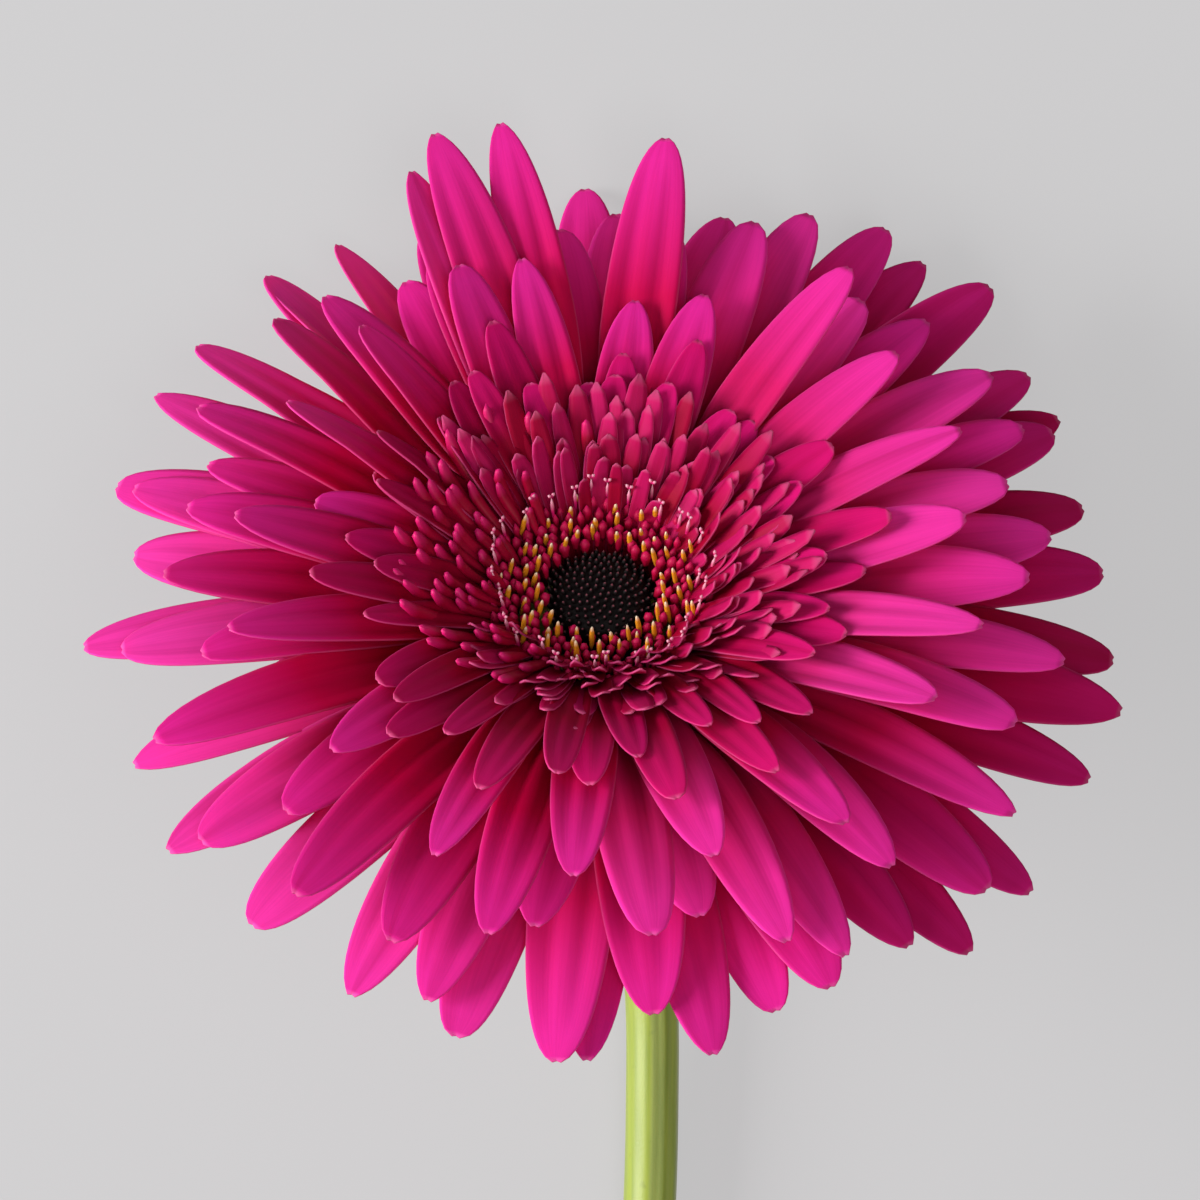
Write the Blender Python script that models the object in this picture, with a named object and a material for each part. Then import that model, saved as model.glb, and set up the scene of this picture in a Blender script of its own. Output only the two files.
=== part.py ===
"""A cut gerbera lying on a flat surface, its flower head facing forward (-Y) and up.

The head is modelled in its own frame: +Z along the head's axis with zero at the top of the
receptacle, and azimuth counted anticlockwise as the face is looked at. The stem runs towards +Y.
The finished flower stands on z = 0 with its origin at the bottom centre of its box.
"""

from collections import namedtuple
from math import atan2, cos, pi, radians, sin, sqrt, tan

import bmesh
import bpy
from mathutils import Matrix, Vector

MM = 0.001

# Flower head: lengths in millimetres, angles in degrees
HEAD_TILT = 35.0            # lean of the head's axis from straight up, towards -Y
HEAD_LEVEL = 27.1           # height of the receptacle's top centre above the surface
DISC_LEVEL = 10.0           # the florets' face above the receptacle's top
FOOT_GAP = 0.3              # florets stand this far above the receptacle
COLLAR_HEIGHT = 1.1         # ring of flesh at the feet of a row that grew together
BLADE = 0.3                 # thickness of a floret
CUP = 0.07                  # rise of a blade's edges, as a share of half its width
BRACT = 0.5                 # thickness of a bract

# The tips of a row lie on a line that has the row's level here and rises outwards by its lift
LIFT_RADIUS = 10.0
TIP_PULL = 0.45             # length of the curve's handle at the tip, as a share of the blade

# Each row of florets: radius of its feet, height of the curve's handle above them, level and lift
# of the tips' line, direction of the blade at its tip, blade width and width of the claw
Row = namedtuple("Row", "foot knee level lift tip_angle width claw")
ROWS = {
    "back": Row(14.4, 4.8, 8, -2.6, -10, 8.2, 2.4),
    "middle": Row(13.8, 5.7, 8, -1.2, -9, 8.4, 2.4),
    "front": Row(13.2, 6.6, 8, 0.4, -8, 8.4, 2.4),
    "second_a": Row(12.6, 7.4, 8, 6.8, -4, 7.6, 1.7),
    "second_b": Row(12.0, 8.25, 8, 11, -2, 7.4, 1.7),
    "raised": Row(11.3, 9.35, 8, 15.3, 5, 7.4, 1.8),
    "crest": Row(10.7, 9.7, 8, 16.8, 7, 7.4, 1.8),
    "third": Row(10.1, 9.8, 8, 20.5, 10, 6.4, 1.5),
    "inner_a": Row(9.5, 10.1, 8, 26, 19, 4.8, 1.3),
    "inner_b": Row(8.9, 10.4, 8, 31, 26, 4.0, 1.3),
    "trans_a": Row(8.3, 10.6, 8, 39, 37, 2.4, 1.1),
    "trans_b": Row(7.7, 10.2, 8, 46, 45, 2.0, 1.0),
    "disc": Row(6.9, 7.4, 10.2, 0, 66, 1.2, 0.8),
}

# Outer ray florets, one by one: azimuth and reach of the tip from the head's axis
SINGLE_FLORETS = {
    "back": [
        (4, 56), (26, 58), (46, 55), (71, 56), (101, 56), (128, 58), (152, 58), (176, 52),
        (202, 55), (230, 56), (255, 58), (270, 59), (290, 56), (310, 60), (336, 58),
    ],
    "middle": [
        (14, 55), (30, 57), (54, 60), (76, 55), (110, 55), (132, 59), (162, 56), (185, 57),
        (216, 57), (242, 58), (266, 60), (281, 60), (305, 56), (320, 60), (353, 57),
    ],
    "front": [
        (22, 55), (42, 61), (57, 60), (92, 57), (120, 57), (142, 57), (167, 54), (188, 53),
        (219, 54), (250, 56), (278, 55), (296, 57), (318, 57), (342, 59),
    ],
    "raised": [(83, 55), (100, 57), (115, 54)],
    "crest": [(107, 57)],
}

# Rows that grew close together, each one ring: azimuth and reach of each tip
RING_FLORETS = {
    "second_a": [
        (3, 50), (24, 51), (43, 50), (63, 54), (87, 50), (106, 46), (121, 46), (138, 50),
        (160, 46), (182, 48), (201, 42), (220, 46), (243, 53), (263, 47), (281, 46), (298, 57),
        (323, 55), (346, 52),
    ],
    "second_b": [
        (15, 46), (31, 50), (50, 46), (67, 49), (81, 46), (96, 46), (112, 46), (129, 47), (154, 49),
        (172, 46), (193, 45), (208, 54), (235, 55), (256, 51), (274, 50), (290, 54), (309, 51),
        (334, 50), (356, 47),
    ],
    "third": [
        (0, 40), (22, 42), (38, 41), (54, 45), (69, 36), (85, 34), (101, 39), (116, 40),
        (131, 39), (149, 39), (165, 32), (180, 40), (200, 42), (222, 40), (246, 46), (267, 46),
        (284, 44), (301, 47), (327, 42), (343, 43),
    ],
    "inner_a": [
        (8, 32), (30, 29), (47, 25), (65, 30), (82, 27), (97, 24), (111, 32), (129, 28),
        (144, 29), (160, 27), (176, 28), (192, 32), (214, 30), (233, 35), (251, 37), (266, 33),
        (281, 37), (298, 38), (316, 33), (334, 29), (351, 29),
    ],
    "inner_b": [
        (17, 24), (38, 23), (56, 24), (73, 24), (90, 24), (105, 24), (120, 27), (137, 25),
        (158, 26), (184, 25), (203, 27), (222, 31), (242, 31), (259, 34), (274, 29), (291, 28),
        (307, 30), (325, 28), (342, 26), (358, 25),
    ],
    "trans_a": [(15 * i + 3 * sin(2.4 * i), 19.5 + cos(3.7 * i)) for i in range(24)],
    "trans_b": [(15 * i + 8 + 3 * sin(1.7 * i), 16 + 0.7 * cos(2.9 * i)) for i in range(24)],
    "disc": [(15 * i, 8.7 + 0.5 * (i % 2)) for i in range(24)],
}
RING_NAMES = {
    "second_a": "second_row_ray_florets_lower",
    "second_b": "second_row_ray_florets_upper",
    "third": "third_row_ray_florets",
    "inner_a": "inner_ray_florets_lower",
    "inner_b": "inner_ray_florets_upper",
    "trans_a": "trans_florets_outer",
    "trans_b": "trans_florets_inner",
    "disc": "disc_florets",
}
SINGLE_STATIONS = (0.07, 0.18, 0.36, 0.64, 0.87, 1.0)
RING_STATIONS = (0.18, 0.36, 0.65, 1.0)
SHORT_STATIONS = (0.25, 0.6, 1.0)
SHORT_ROWS = ("trans_a", "trans_b", "disc")

# Receptacle and neck, along the head's axis: height below the top and radius
RECEPTACLE = [(0, 15.0), (1.2, 15.2), (3.5, 13.4), (6, 9.2), (8.5, 5.4), (11, 3.9)]
# The stem beyond the neck, on the finished flower's own axes: x, y, height of centre, radius;
# y is counted from under the middle of the flower's face
STEM = [
    (-0.5, 16.5, 15.9, 3.3), (-3.0, 27.0, 9.0, 3.0), (-5.6, 43.0, 5.3, 3.0),
    (-6.0, 60.0, 4.0, 3.0), (-5.0, 85.0, 3.3, 3.0), (-2.0, 130.0, 3.1, 3.1),
    (3.0, 190.0, 3.1, 3.1), (6.5, 255.0, 3.2, 3.2), (5.5, 320.0, 3.3, 3.3),
    (1.0, 372.0, 3.4, 3.4),
]
STEM_SIDES = 12

# Walls of the two rings of bracts: height and inner radius, from the foot to the tip
INNER_BRACTS = [(-5.5, 10.9), (-3.5, 14.1), (-1.4, 15.7), (1.5, 15.9)]
OUTER_BRACTS = [(-8.6, 6.2), (-6.2, 10.7), (-3.6, 15.4), (-1.6, 17.0), (1.0, 17.3)]
INNER_BRACT_COUNT = 24
OUTER_BRACT_COUNT = 18
BRACT_NOTCH = 2.3           # depth of the gap between two bracts' tips

# Dome of closed buds in the middle of the face: radius and height of its profile
BUD_DOME = [(0, 9.0), (2.4, 8.9), (4.4, 8.5), (5.6, 7.6), (5.7, 6.0), (5.0, FOOT_GAP), (0, FOOT_GAP)]
BUD_DOME_STEPS = 24

COLOURS = {
    "ray": (0.66, 0.01, 0.17),
    "inner": (0.42, 0.004, 0.07),
    "trans": (0.30, 0.003, 0.06),
    "anther": (0.72, 0.26, 0.03),
    "bud": (0.02, 0.003, 0.005),
    "stem": (0.33, 0.41, 0.08),
    "bract": (0.16, 0.25, 0.06),
}
ROW_COLOURS = {
    "inner_a": "inner",
    "inner_b": "inner",
    "trans_a": "trans",
    "trans_b": "trans",
    "disc": "anther",
}


def clear_scene():
    """Remove everything that the opened file holds."""
    for obj in list(bpy.data.objects):
        bpy.data.objects.remove(obj, do_unlink=True)


def matt_material(name, colour):
    """A matt Principled material."""
    material = bpy.data.materials.new(name)
    material.use_nodes = True
    shader = material.node_tree.nodes["Principled BSDF"]
    shader.inputs["Base Color"].default_value = (*colour, 1)
    shader.inputs["Roughness"].default_value = 0.55
    shader.inputs["Metallic"].default_value = 0
    return material


def add_empty(name, parent=None):
    """An empty that carries other objects."""
    empty = bpy.data.objects.new(name, None)
    bpy.context.scene.collection.objects.link(empty)
    empty.parent = parent
    return empty


def add_piece(name, data, parent, colour):
    """Link a finished mesh or curve as one named piece with its own material."""
    piece = bpy.data.objects.new(name, data)
    bpy.context.scene.collection.objects.link(piece)
    piece.parent = parent
    data.materials.append(matt_material(name, COLOURS[colour]))
    return piece


def finish_mesh(name, bm):
    """Turn the faces outwards and store the shape as a smooth mesh."""
    bmesh.ops.recalc_face_normals(bm, faces=bm.faces)
    mesh = bpy.data.meshes.new(name)
    bm.to_mesh(mesh)
    bm.free()
    mesh.shade_smooth()
    mesh.set_sharp_from_angle(angle=radians(40))
    return mesh


def spine(row, reach, u):
    """Point and direction (radius, height) on a floret's middle line, for u from 0 to 1."""
    foot = Vector((row.foot, FOOT_GAP))
    knee = Vector((row.foot, row.knee))
    tip = Vector((reach, row.level + (reach - LIFT_RADIUS) * tan(radians(row.lift))))
    end = radians(row.tip_angle)
    brow = tip - TIP_PULL * (tip - knee).length * Vector((cos(end), sin(end)))
    v = 1 - u
    point = v**3 * foot + 3 * v**2 * u * knee + 3 * v * u**2 * brow + u**3 * tip
    along = v**2 * (knee - foot) + 2 * v * u * (brow - knee) + u**2 * (tip - brow)
    return point, along.normalized()


def half_width(row, u):
    """Half the blade's width: a narrow claw, widest past the middle, and a rounded tip."""
    widest = 0.66
    if u < widest:
        spread = 0.5 - 0.5 * cos(pi * (u / widest) ** 1.4)
        return (row.claw + (row.width - row.claw) * spread) / 2
    closing = ((u - widest) / (1 - widest)) ** 2.4
    return row.width * max(0.16, sqrt(1 - closing)) / 2


def blade_point(row, reach, u, side, face):
    """A corner of the blade's cross-section; side is -1 to 1, face is -1 below or 1 above."""
    point, along = spine(row, reach, u)
    half = half_width(row, u)
    upward = Vector((-along.y, along.x))
    thickness = BLADE * (1 - 0.4 * u)
    offset = CUP * half * side**2 * (1 - 1.4 * u) + face * thickness / 2
    place = point + offset * upward
    around = side * half / place.x
    return Vector((place.x * cos(around), place.x * sin(around), place.y)) * MM


def draw_out(bm, face, corner, corners, stations, shape):
    """Grow a blade from a face: extrude it to each station and shape its corners there."""
    for u in stations:
        grown = bmesh.ops.extrude_face_region(bm, geom=[face])["geom"]
        bm.faces.remove(face)
        face = next(item for item in grown if isinstance(item, bmesh.types.BMFace))
        for vert in face.verts:
            vert.co = shape(u, *corners[vert[corner]])


def single_floret(row, reach):
    """One ray floret with a slightly cupped blade, drawn at azimuth zero."""
    corners = [(-1, -1), (0, -1), (1, -1), (1, 1), (0, 1), (-1, 1)]
    bm = bmesh.new()
    corner = bm.verts.layers.int.new("corner")
    foot = []
    for index, (side, face) in enumerate(corners):
        vert = bm.verts.new(blade_point(row, reach, 0, side, face))
        vert[corner] = index
        foot.append(vert)
    draw_out(bm, bm.faces.new(foot), corner, corners, SINGLE_STATIONS,
             lambda u, side, face: blade_point(row, reach, u, side, face))
    bm.faces.new(foot)
    return bm


def turned_ring(loop, steps):
    """Spin a closed profile of (radius, height) points a full turn about the head's axis."""
    bm = bmesh.new()
    verts = [bm.verts.new((radius * MM, 0, height * MM)) for radius, height in loop]
    edges = [bm.edges.new((a, b)) for a, b in zip(verts, verts[1:] + verts[:1])]
    bmesh.ops.spin(bm, geom=verts + edges, cent=(0, 0, 0), axis=(0, 0, 1), angle=2 * pi,
                   steps=steps, use_merge=True)
    bmesh.ops.remove_doubles(bm, verts=bm.verts, dist=0.00001)
    return bm


def floret_ring(row, florets, stations):
    """A row of florets that grew together: a thin collar with a blade at each azimuth."""
    corners = [(-1, -1), (1, -1), (1, 1), (-1, 1)]
    inner, outer = row.foot - BLADE / 2, row.foot + BLADE / 2
    top = FOOT_GAP + COLLAR_HEIGHT
    bm = turned_ring([(inner, FOOT_GAP), (outer, FOOT_GAP), (outer, top), (inner, top)], 2 * len(florets))
    corner = bm.verts.layers.int.new("corner")
    half_claw = row.claw / 2 / row.foot
    ordered = sorted(florets)
    for vert in bm.verts:
        slot = round(atan2(vert.co.y, vert.co.x) / (pi / len(ordered))) % (2 * len(ordered))
        side = 1 if slot % 2 else -1
        azimuth = radians(ordered[slot // 2][0]) + side * half_claw
        radius = vert.co.xy.length
        vert.co.xy = radius * cos(azimuth), radius * sin(azimuth)
        vert[corner] = corners.index((side, 1 if radius < row.foot * MM else -1))
    bm.normal_update()
    tops = [face for face in bm.faces if min(v.co.z for v in face.verts) > (top - 0.01) * MM]
    for azimuth, reach in ordered:
        turn = Matrix.Rotation(radians(azimuth), 3, "Z")
        middle = turn @ Vector((row.foot * MM, 0, top * MM))
        claw = min(tops, key=lambda face: (face.calc_center_median() - middle).length)
        tops.remove(claw)
        draw_out(bm, claw, corner, corners, stations,
                 lambda u, side, face: turn @ blade_point(row, reach, u, side, face))
    return bm


def bract_ring(wall, count):
    """A cup of pointed bracts that grew side by side under the head."""
    inside = [(radius, height) for height, radius in wall]
    outside = [(radius + BRACT, height) for radius, height in reversed(inside)]
    bm = turned_ring(inside + outside, 2 * count)
    top = wall[-1][0] * MM
    for vert in bm.verts:
        slot = round(atan2(vert.co.y, vert.co.x) / (pi / count))
        if slot % 2 and abs(vert.co.z - top) < 0.1 * MM:
            vert.co.z -= BRACT_NOTCH * MM
    return bm


def bud_dome():
    """The dome of closed buds, turned about the head's axis."""
    bm = bmesh.new()
    verts = [bm.verts.new((radius * MM, 0, height * MM)) for radius, height in BUD_DOME]
    edges = [bm.edges.new(pair) for pair in zip(verts, verts[1:])]
    bmesh.ops.spin(bm, geom=verts + edges, cent=(0, 0, 0), axis=(0, 0, 1), angle=2 * pi,
                   steps=BUD_DOME_STEPS, use_merge=True)
    bmesh.ops.remove_doubles(bm, verts=bm.verts, dist=0.00001)
    return bm


def stem_curve(head_matrix):
    """Receptacle, neck and stem as one tapering sweep that ends in a plain cut."""
    curve = bpy.data.curves.new("stem_and_receptacle", "CURVE")
    curve.dimensions = "3D"
    curve.bevel_depth = MM
    curve.bevel_resolution = (STEM_SIDES - 4) // 2
    curve.use_fill_caps = True
    curve.resolution_u = 3
    spline = curve.splines.new("BEZIER")
    spline.radius_interpolation = "LINEAR"
    spline.bezier_points.add(len(RECEPTACLE) + len(STEM) - 1)
    stations = [(head_matrix @ Vector((0, 0, -depth * MM)), radius) for depth, radius in RECEPTACLE]
    stations += [(Vector((x, y, z)) * MM, radius) for x, y, z, radius in STEM]
    for index, (knot, (place, radius)) in enumerate(zip(spline.bezier_points, stations)):
        straight = index < len(RECEPTACLE) - 1
        knot.co = place
        knot.radius = radius
        knot.handle_left_type = knot.handle_right_type = "VECTOR" if straight else "AUTO"
    return curve


def bottom_centre():
    """Bottom centre of the whole flower's box, as the shapes are evaluated."""
    bpy.context.view_layer.update()
    depsgraph = bpy.context.evaluated_depsgraph_get()
    places = []
    for obj in bpy.context.scene.objects:
        if obj.type == "EMPTY":
            continue
        shape = obj.evaluated_get(depsgraph)
        places += [shape.matrix_world @ vert.co for vert in shape.to_mesh().vertices]
        shape.to_mesh_clear()
    low = [min(place[axis] for place in places) for axis in range(3)]
    high = [max(place[axis] for place in places) for axis in range(3)]
    return Vector(((low[0] + high[0]) / 2, (low[1] + high[1]) / 2, low[2]))


def build():
    clear_scene()
    flower = add_empty("cut_gerbera")
    head = add_empty("flower_head_frame", flower)
    tilt = radians(HEAD_TILT)
    head.location = Vector((0, DISC_LEVEL * sin(tilt), HEAD_LEVEL)) * MM
    head.rotation_euler = (-tilt, 0, pi)
    bpy.context.view_layer.update()

    add_piece("stem_and_receptacle", stem_curve(head.matrix_world), flower, "stem")
    for name, wall, count in (("involucre_inner_bracts", INNER_BRACTS, INNER_BRACT_COUNT),
                              ("involucre_outer_bracts", OUTER_BRACTS, OUTER_BRACT_COUNT)):
        add_piece(name, finish_mesh(name, bract_ring(wall, count)), head, "bract")

    for row_name, florets in SINGLE_FLORETS.items():
        for number, (azimuth, reach) in enumerate(florets, 1):
            name = f"ray_floret_{row_name}_{number:02d}"
            mesh = finish_mesh(name, single_floret(ROWS[row_name], reach))
            add_piece(name, mesh, head, "ray").rotation_euler.z = radians(azimuth)

    for row_name, florets in RING_FLORETS.items():
        name = RING_NAMES[row_name]
        stations = SHORT_STATIONS if row_name in SHORT_ROWS else RING_STATIONS
        mesh = finish_mesh(name, floret_ring(ROWS[row_name], florets, stations))
        add_piece(name, mesh, head, ROW_COLOURS.get(row_name, "ray"))

    add_piece("disc_buds", finish_mesh("disc_buds", bud_dome()), head, "bud")
    flower.location = -bottom_centre()
    bpy.context.view_layer.update()


build()
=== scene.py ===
"""The looks of a cut gerbera that lies on a pale surface, its face turned forward and up.

Every piece is drawn in the flower head's own frame: +Z along the head's axis with zero at the top
of the receptacle, and azimuth anticlockwise as the face is looked at. head_frame() turns that
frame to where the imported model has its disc.
"""

from collections import namedtuple
from math import atan2, cos, degrees, exp, pi, radians, sin, sqrt, tan
from random import Random

import bmesh
import bpy
from mathutils import Euler, Matrix, Vector


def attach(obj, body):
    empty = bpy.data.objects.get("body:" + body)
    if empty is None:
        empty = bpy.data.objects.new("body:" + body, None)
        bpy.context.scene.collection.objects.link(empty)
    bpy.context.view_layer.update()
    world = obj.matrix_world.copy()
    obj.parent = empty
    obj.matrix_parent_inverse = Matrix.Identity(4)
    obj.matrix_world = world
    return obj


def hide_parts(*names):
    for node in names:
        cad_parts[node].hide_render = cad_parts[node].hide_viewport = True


bl_info = {
    "name": "Cut gerbera",
    "version": (1, 0, 0),
    "blender": (4, 5, 0),
    "location": "3D View > Sidebar > Gerbera",
    "description": "Builds the petals, disc and stem of a cut gerbera around its packed model",
    "category": "Object",
}

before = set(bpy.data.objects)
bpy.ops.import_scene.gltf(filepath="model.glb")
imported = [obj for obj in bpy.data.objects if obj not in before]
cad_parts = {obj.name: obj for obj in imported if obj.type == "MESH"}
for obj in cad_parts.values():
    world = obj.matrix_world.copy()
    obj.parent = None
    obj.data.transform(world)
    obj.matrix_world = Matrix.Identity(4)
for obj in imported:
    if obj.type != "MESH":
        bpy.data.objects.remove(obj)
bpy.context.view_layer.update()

MM = 0.001
GOLDEN_ANGLE = pi * (3 - sqrt(5))
# What rests on the surface stays this far above it
FLOOR_CLEARANCE = 0.02 * MM

# The head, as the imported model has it: millimetres and degrees
HEAD_TILT = 35.0
HEAD_LEVEL = 27.1
DISC_LEVEL = 10.0
FOOT_GAP = 0.3
# The line of each row's tips starts here, and rises or falls by the row's lift
LIFT_RADIUS = 10.0
LIFT_LEVEL = 8
# How far the blade's own direction is felt back from its tip, as a share of its length
TIP_PULL = 0.45
# Depth of a blade's hollow, as a share of its half width, at a curl of 1
CUP = 0.07

# Radius of the feet, height of the curve's handle above them, lift of the line that the tips lie
# on, direction of the blade at its tip, blade width and claw width
Row = namedtuple("Row", "foot knee lift tip_angle width claw")
ROWS = {
    "back": Row(14.4, 4.8, -2.6, -10, 8.2, 2.4),
    "middle": Row(13.8, 5.7, -1.2, -9, 8.4, 2.4),
    "front": Row(13.2, 6.6, 0.4, -8, 8.4, 2.4),
    "second_a": Row(12.6, 7.4, 6.8, -4, 7.6, 1.7),
    "second_b": Row(12.0, 8.25, 11, -2, 7.4, 1.7),
    "raised": Row(11.3, 9.35, 15.3, 5, 7.4, 1.8),
    "crest": Row(10.7, 9.7, 16.8, 7, 7.4, 1.8),
    "third": Row(10.1, 9.8, 20.5, 10, 6.4, 1.5),
    "inner_a": Row(9.5, 10.1, 26, 19, 4.8, 1.3),
    "inner_b": Row(8.9, 10.4, 31, 26, 4.0, 1.3),
}

# Azimuth and reach of each tip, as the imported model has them
SINGLE_FLORETS = {
    "back": [
        (4, 56), (26, 58), (46, 55), (71, 56), (101, 56), (128, 58), (152, 58), (176, 52),
        (202, 55), (230, 56), (255, 58), (270, 59), (290, 56), (310, 60), (336, 58),
    ],
    "middle": [
        (14, 55), (30, 57), (54, 60), (76, 55), (110, 55), (132, 59), (162, 56), (185, 57),
        (216, 57), (242, 58), (266, 60), (281, 60), (305, 56), (320, 60), (353, 57),
    ],
    "front": [
        (22, 55), (42, 61), (57, 60), (92, 57), (120, 57), (142, 57), (167, 54), (188, 53),
        (219, 54), (250, 56), (278, 55), (296, 57), (318, 57), (342, 59),
    ],
    "raised": [(83, 55), (100, 57), (115, 54)],
    "crest": [(107, 57)],
}
RING_FLORETS = {
    "second_a": [
        (3, 50), (24, 51), (43, 50), (63, 54), (87, 50), (106, 46), (121, 46), (138, 50),
        (160, 46), (182, 48), (201, 42), (220, 46), (243, 53), (263, 47), (281, 46), (298, 57),
        (323, 55), (346, 52),
    ],
    "second_b": [
        (15, 46), (31, 50), (50, 46), (67, 49), (81, 46), (96, 46), (112, 46), (129, 47), (154, 49),
        (172, 46), (193, 45), (208, 54), (235, 55), (256, 51), (274, 50), (290, 54), (309, 51),
        (334, 50), (356, 47),
    ],
    "third": [
        (0, 40), (22, 42), (38, 41), (54, 45), (69, 36), (85, 34), (101, 39), (116, 40),
        (131, 39), (149, 39), (165, 32), (180, 40), (200, 42), (222, 40), (246, 46), (267, 46),
        (284, 44), (301, 47), (327, 42), (343, 43),
    ],
    "inner_a": [
        (8, 32), (30, 29), (47, 25), (65, 30), (82, 27), (97, 24), (111, 32), (129, 28),
        (144, 29), (160, 27), (176, 28), (192, 32), (214, 30), (233, 35), (251, 37), (266, 33),
        (281, 37), (298, 38), (316, 33), (334, 29), (351, 29),
    ],
    "inner_b": [
        (17, 24), (38, 23), (56, 24), (73, 24), (90, 24), (105, 24), (120, 27), (137, 25),
        (158, 26), (184, 25), (203, 27), (222, 31), (242, 31), (259, 34), (274, 29), (291, 28),
        (307, 30), (325, 28), (342, 26), (358, 25),
    ],
}
RING_NODES = {
    "second_a": "second_row_ray_florets_lower",
    "second_b": "second_row_ray_florets_upper",
    "third": "third_row_ray_florets",
    "inner_a": "inner_ray_florets_lower",
    "inner_b": "inner_ray_florets_upper",
}
# Small strap florets round the disc: piece, node, and its rows as (reach, height, tip direction,
# width, count)
TRANS_RINGS = (
    ("trans_inner", "trans_florets_inner",
     ((12.6, 12.8, 80, 1.6, 26), (14.2, 13.9, 76, 1.8, 30), (16.0, 14.9, 70, 1.9, 33))),
    ("trans_outer", "trans_florets_outer",
     ((17.8, 15.7, 64, 2.1, 34), (19.6, 16.4, 58, 2.2, 33), (21.4, 17.0, 50, 2.4, 30),
      (23.2, 17.6, 46, 2.4, 26))),
)

# Receptacle along the head's axis (depth, radius) and the stem on the flower's axes (x, y, z, radius)
RECEPTACLE = [(0, 15.0), (1.2, 15.2), (3.5, 13.4), (6, 9.2), (8.5, 5.4), (11, 3.9)]
STEM = [
    (-0.5, 16.5, 15.9, 3.3), (-3.0, 27.0, 9.0, 3.0), (-5.6, 43.0, 5.3, 3.0),
    (-6.0, 60.0, 4.0, 3.0), (-5.0, 85.0, 3.3, 3.0), (-2.0, 130.0, 3.1, 3.1),
    (3.0, 190.0, 3.1, 3.1), (6.5, 255.0, 3.2, 3.2), (5.5, 320.0, 3.3, 3.3),
    (1.0, 372.0, 3.4, 3.4),
]

# Middle line of each ring of bracts: height and radius, from the foot to the tip
INNER_BRACTS = [(-5.5, 11.1), (-3.5, 14.3), (-1.4, 15.9), (1.5, 16.1)]
OUTER_BRACTS = [(-8.6, 6.5), (-6.2, 11.0), (-3.6, 15.7), (-1.6, 17.3), (1.0, 17.6)]

# Dome of closed buds: radius and height
BUD_DOME = [(0, 8.5), (2.4, 8.4), (4.4, 8.0), (5.4, 7.2), (5.6, 6.0), (5.0, FOOT_GAP), (0, FOOT_GAP)]


def linear(code):
    """An sRGB hex colour as linear RGB."""
    channels = [int(code[i:i + 2], 16) / 255 for i in (0, 2, 4)]
    return [c / 12.92 if c <= 0.04045 else ((c + 0.055) / 1.055) ** 2.4 for c in channels]


def colour_property(name, description, code):
    """A colour that the user can change, from its sRGB hex value."""
    return bpy.props.FloatVectorProperty(
        name=name, description=description, subtype="COLOR", size=3, min=0, max=1,
        default=linear(code),
    )


def length_property(name, description, value):
    """A length in metres that the user can change."""
    return bpy.props.FloatProperty(name=name, description=description, default=value, unit="LENGTH")


class FlowerSizes(bpy.types.PropertyGroup):
    """Thicknesses and small sizes of the pieces"""
    petal_thickness: length_property("Petal thickness", "Thickness of a blade", 0.2 * MM)
    groove_depth: length_property("Groove depth", "Depth of a petal's two long grooves", 0.65 * MM)
    vein_pitch: length_property("Vein pitch", "Spacing of the fine veins along a petal", 0.5 * MM)
    stem_rib: length_property("Stem rib", "Height of the ribs along the stem", 0.07 * MM)
    bract_thickness: length_property("Bract thickness", "Thickness of a bract", 0.4 * MM)
    anther_width: length_property("Anther width", "Width of an anther tube", 0.58 * MM)
    bud_width: length_property("Bud width", "Width of a closed disc bud", 0.66 * MM)


class FlowerColours(bpy.types.PropertyGroup):
    """Colours of the pieces and the floor"""
    # Partly painted shade: the foot's crimson is partly the petal's own colour and partly the deep red of
    # shade near the middle of the head
    petal_foot: colour_property("Petal foot", "Crimson at the foot of a ray petal", "BE0018")
    petal_middle: colour_property("Petal middle", "Middle of a ray petal", "DC0452")
    petal_end: colour_property("Petal end", "Outer part of a ray petal", "F830B4")
    # Painted light: the glow colour paints the bright pink of light coming through petals on the key
    # lamp's side
    petal_painted_light: colour_property("Petal glow", "Palest pink of a thin, fresh petal", "FF4CC8")
    # Painted shade: the dusk colour darkens petals by the side of the head they lie on, and also darkens
    # the veins and bands
    petal_painted_shade_and_veins: colour_property("Petal dusk", "Darkest of the ray petals", "B0003A")
    petal_edge: colour_property("Petal edge", "Thin pale edge of a petal", "F070B4")
    petal_tip: colour_property("Petal tip", "Pale notched end of a petal", "F28CBC")
    trans_foot: colour_property("Trans foot", "Deep crimson of the small florets", "A80030")
    inner_end: colour_property("Inner end", "Outer part of the short inner petals", "E0147A")
    trans_end: colour_property("Trans end", "Pink ends of the small florets", "D21A6C")
    corolla: colour_property("Corolla", "Magenta lobes of the disc florets", "CC1058")
    pollen: colour_property("Pollen", "Orange of the anthers", "E8961C")
    pollen_tip: colour_property("Pollen tip", "Pale end of an anther", "E8DCC4")
    stigma: colour_property("Stigma", "Pale pink of the forked styles", "EDB4C4")
    bud: colour_property("Bud", "Near-black maroon of the closed buds", "0C0203")
    bud_tip: colour_property("Bud tip", "Dusky end of a closed bud", "94505C")
    stem_light: colour_property("Stem light", "Yellow-green of the stem", "8C9A36")
    stem_dark: colour_property("Stem dark", "Darker streaks of the stem", "7A8A30")
    pith: colour_property("Pith", "Pale pith at the cut", "E4E6BE")
    bract: colour_property("Bract", "Green of the bracts", "6E8A3C")
    floor: colour_property("Floor", "Pale grey surface", "CBCACB")


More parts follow.
